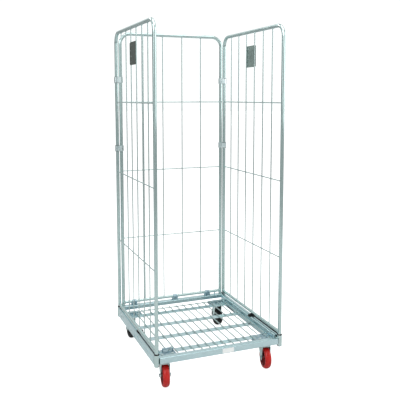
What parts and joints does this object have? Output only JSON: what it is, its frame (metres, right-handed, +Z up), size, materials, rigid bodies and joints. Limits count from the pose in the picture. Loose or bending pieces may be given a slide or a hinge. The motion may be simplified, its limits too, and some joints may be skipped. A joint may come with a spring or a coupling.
{
  "type": "roll cage container",
  "caption": "Wheeled wire cage with an open front, lift-out side panels, a fold-up slatted deck, swivel front casters and fixed rear casters.",
  "frame": {"origin": "on the floor, under the middle of the cage", "axes": "+Z up; the open front faces -Y; +X to the right seen from the front"},
  "size_m": [0.664, 0.7342, 1.7],
  "materials": {
    "zinc_steel": "bright zinc-plated tube and pressings, faint blue-green cast",
    "zinc_sheet": "zinc-plated sheet with a fine spangle",
    "zinc_wire": "zinc-plated drawn wire",
    "sign_sheet": "matt dark grey-green plate, blank",
    "black_plastic": "moulded black plastic",
    "black_rubber": "matt black rubber",
    "red_polyurethane": "semi-gloss red polyurethane tread",
    "red_core": "dark red moulded wheel centre",
    "white_label": "blank white printed label"
  },
  "bodies": {
    "base": {"front_rail": "zinc_sheet", "rear_rail": "zinc_sheet", "rail_label": "white_label", "left_side_rail": "zinc_sheet", "left_bumper": "black_rubber", "front_left_corner": "zinc_sheet", "front_left_socket": "zinc_steel", "front_left_collar": "black_plastic", "rear_left_corner": "zinc_sheet", "rear_left_socket": "zinc_steel", "rear_left_collar": "black_plastic", "left_hinge_ring_lower": "zinc_sheet", "left_hinge_ring_upper": "zinc_sheet", "front_left_caster_plate": "zinc_sheet", "rear_left_caster_bracket": "zinc_steel", "rear_left_axle": "zinc_steel", "right_side_rail": "zinc_sheet", "right_bumper": "black_rubber", "front_right_corner": "zinc_sheet", "front_right_socket": "zinc_steel", "front_right_collar": "black_plastic", "rear_right_corner": "zinc_sheet", "rear_right_socket": "zinc_steel", "rear_right_collar": "black_plastic", "right_hinge_ring_lower": "zinc_sheet", "right_hinge_ring_upper": "zinc_sheet", "front_right_caster_plate": "zinc_sheet", "rear_right_caster_bracket": "zinc_steel", "rear_right_axle": "zinc_steel", "back_panel_hoop": "zinc_steel", "back_panel_bottom_tube": "zinc_steel", "back_panel_wires": "zinc_wire", "back_saddle_left": "zinc_sheet", "back_saddle_middle": "zinc_sheet", "back_saddle_right": "zinc_sheet"},
    "left_panel": {"left_panel_hoop": "zinc_steel", "left_panel_bottom_tube": "zinc_steel", "left_panel_wires": "zinc_wire", "left_sign_plate": "sign_sheet"},
    "right_panel": {"right_panel_hoop": "zinc_steel", "right_panel_bottom_tube": "zinc_steel", "right_panel_wires": "zinc_wire", "right_sign_plate": "sign_sheet"},
    "deck": {"deck_slat_1": "zinc_sheet", "deck_slat_2": "zinc_sheet", "deck_slat_3": "zinc_sheet", "deck_slat_4": "zinc_sheet", "deck_rods": "zinc_wire"},
    "front_left_swivel": {"front_left_fork": "zinc_steel", "front_left_axle": "zinc_steel"},
    "front_left_wheel": {"front_left_tyre": "red_polyurethane", "front_left_wheel_core": "red_core"},
    "rear_left_wheel": {"rear_left_tyre": "black_rubber", "rear_left_wheel_core": "black_plastic"},
    "front_right_swivel": {"front_right_fork": "zinc_steel", "front_right_axle": "zinc_steel"},
    "front_right_wheel": {"front_right_tyre": "red_polyurethane", "front_right_wheel_core": "red_core"},
    "rear_right_wheel": {"rear_right_tyre": "black_rubber", "rear_right_wheel_core": "black_plastic"}
  },
  "joints": [
    {"name": "left_panel_lift", "type": "slide", "parent": "base", "child": "left_panel", "axis": [0, 0, 1], "range_m": [0, 0.08]},
    {"name": "right_panel_lift", "type": "slide", "parent": "base", "child": "right_panel", "axis": [0, 0, 1], "range_m": [0, 0.08]},
    {"name": "deck_fold", "type": "hinge", "parent": "base", "child": "deck", "pos_m": [0, 0.296, 0.1488], "axis": [-1, 0, 0], "range_deg": [0, 85]},
    {"name": "front_left_swivel", "type": "hinge", "parent": "base", "child": "front_left_swivel", "pos_m": [-0.2645, -0.282, 0.12], "axis": [0, 0, 1], "continuous": true},
    {"name": "front_left_roll", "type": "hinge", "parent": "front_left_swivel", "child": "front_left_wheel", "pos_m": [-0.26919, -0.31163, 0.055], "axis": [0.9877, -0.1564, 0], "continuous": true},
    {"name": "rear_left_roll", "type": "hinge", "parent": "base", "child": "rear_left_wheel", "pos_m": [-0.2645, 0.31213, 0.055], "axis": [1, 0, 0], "continuous": true},
    {"name": "front_right_swivel", "type": "hinge", "parent": "base", "child": "front_right_swivel", "pos_m": [0.2645, -0.282, 0.12], "axis": [0, 0, 1], "continuous": true},
    {"name": "front_right_roll", "type": "hinge", "parent": "front_right_swivel", "child": "front_right_wheel", "pos_m": [0.25981, -0.31163, 0.055], "axis": [0.9877, -0.1564, 0], "continuous": true},
    {"name": "rear_right_roll", "type": "hinge", "parent": "base", "child": "rear_right_wheel", "pos_m": [0.2645, 0.31213, 0.055], "axis": [1, 0, 0], "continuous": true}
  ]
}
